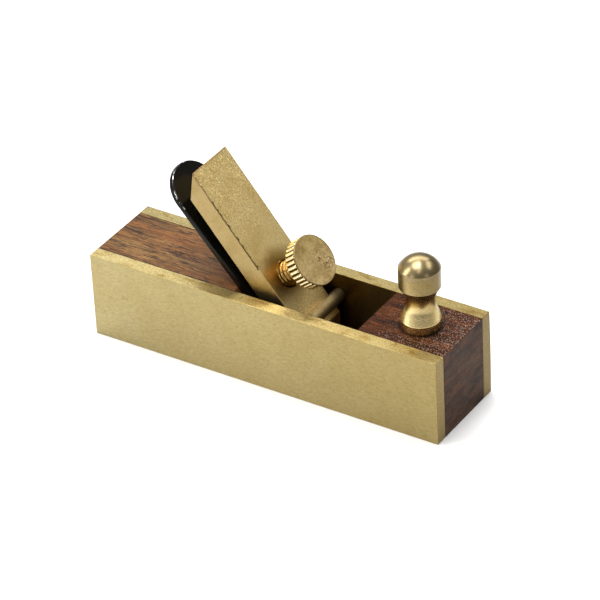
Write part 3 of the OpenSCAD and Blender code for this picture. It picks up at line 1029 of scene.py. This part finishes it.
# Name, azimuth, elevation, distance, width, height and power
LAMPS = (("back_overhead", 124, 50, 0.8, 0.9, 0.25, 4.0),
         ("overhead", -139, 80, 1.0, 0.5, 0.5, 5.8),
         ("overhead_strip", -59, 82, 1.0, 0.03, 1.1, 2.6),
         ("back_right", 47, 50, 1.0, 0.6, 0.3, 2.3),
         ("left", -139, 30, 0.9, 0.16, 0.6, 3.0),
         ("front", -98, 27, 1.1, 0.05, 0.35, 0.8),
         ("right", -19, 27, 1.1, 0.04, 0.3, 0.45))


def camera():
    data = bpy.data.cameras.new("camera")
    data.lens = CAMERA_LENS
    data.sensor_width = 36
    data.clip_start = 0.05
    data.clip_end = 20
    right = CAMERA_RIGHT.normalized()
    up = (CAMERA_UP - CAMERA_UP.dot(right) * right).normalized()
    turn = Matrix((right, up, right.cross(up))).transposed().to_4x4()
    eye = bpy.data.objects.new("camera", data)
    eye.matrix_world = Matrix.Translation(CAMERA_AT) @ turn
    bpy.context.scene.collection.objects.link(eye)
    bpy.context.scene.camera = eye


def softbox(name, azimuth, elevation, distance, width, height, power):
    """An area light that looks at the stock, from angles in degrees; azimuth is from +X to +Y."""
    data = bpy.data.lights.new(name, "AREA")
    data.shape = "RECTANGLE"
    data.size, data.size_y = width, height
    data.energy = power
    a, e = math.radians(azimuth), math.radians(elevation)
    away = Vector((math.cos(a) * math.cos(e), math.sin(a) * math.cos(e), math.sin(e)))
    lamp = bpy.data.objects.new(name, data)
    lamp.location = Vector((0, 0, 0.02)) + distance * away
    lamp.rotation_mode = "QUATERNION"
    lamp.rotation_quaternion = away.to_track_quat("Z", "Y")
    bpy.context.scene.collection.objects.link(lamp)


def studio():
    world = bpy.data.worlds.new("studio")
    world.use_nodes = True
    background = world.node_tree.nodes["Background"]
    background.inputs["Color"].default_value = (1, 1, 1, 1)
    background.inputs["Strength"].default_value = 0.36
    bpy.context.scene.world = world
    for lamp in LAMPS:
        softbox(*lamp)
    bpy.context.scene.view_settings.view_transform = "Standard"


def floor():
    m = Nodes("floor_paper")
    grain = m.noise(m.coords, 60, 4, 0.6)
    m.set(base=m.ramp(grain, [(0.3, (0.90, 0.90, 0.897)), (0.7, (0.92, 0.92, 0.917))]), rough=0.7)
    mesh = bpy.data.meshes.new("floor")
    half = 4.0
    corners = [(-half, -half, 0), (half, -half, 0), (half, half, 0), (-half, half, 0)]
    mesh.from_pydata(corners, [], [(0, 1, 2, 3)])
    mesh.materials.append(m.material)
    plane = bpy.data.objects.new("floor", mesh)
    bpy.context.scene.collection.objects.link(plane)


# -------------------------------- assembly

def heel_block(material):
    bottom = max(v.co.x for v in frame["nodes"]["heel_block"].data.vertices)
    return wood_block("heel_block", line_x(STOCK_LOW.x, STOCK_LOW.x),
                      line_x(bottom, BED_TOP), material)


def toe_block(material):
    top = min(v.co.x for v in frame["nodes"]["toe_block"].data.vertices if v.co.z > TOP_Z - NEAR)
    return wood_block("toe_block", line_x(TOE_LOW.x, top), line_x(TOE_X, TOE_X), material)


def hidden_parts():
    """Dowels, stud and pad keep their CAD shapes and get a turned finish."""
    finish = turned_brass("dowel_brass", Matrix.Identity(4), even(0.3), BRASS, 0.004, (0, TOP_Z),
                          even(1.0))
    for name in ("toe_dowels", "heel_dowels", "knob_stud", "screw_pad"):
        mesh = frame["nodes"][name].data
        mesh.materials.clear()
        mesh.materials.append(finish)


camera()
studio()
floor()
plate_finish = plate_brass()
plates = [side_plate("near_side_plate", -1, plate_finish), side_plate("far_side_plate", 1, plate_finish)]
for plate in plates:
    cut(plate, pin_socket(HALF_THROAT + 2 * MM))
heel_block(rosewood("heel_rosewood", (0.205, 0.11, 0.034), (0.12, 0.055, 0.015), (0.058, 0.024, 0.007),
                    (0.19, 0.070, 0.016), 0.2, 0.44, 0.012, 0.0, 3))
toe_block(rosewood("toe_rosewood", (0.078, 0.024, 0.006), (0.043, 0.013, 0.004), (0.014, 0.005, 0.002),
                   (0.080, 0.021, 0.005), 0.06, 0.42, 0.06, 0.9, 41))
# Painted shadow: the pin darkens towards its far end
cross_pin(turned_brass("pin_brass", PIN_PLACE, even(0.56), (0.36, 0.27, 0.125), 0.003,
                       (-HALF_THROAT, HALF_THROAT), [(0.0, 1.0), (0.35, 0.95), (0.85, 0.45)]))
blade(blade_black(), ground_steel())
lever_cap(cap_brass())
thumb_screw(screw_brass())
front_knob(knob_brass())
hidden_parts()
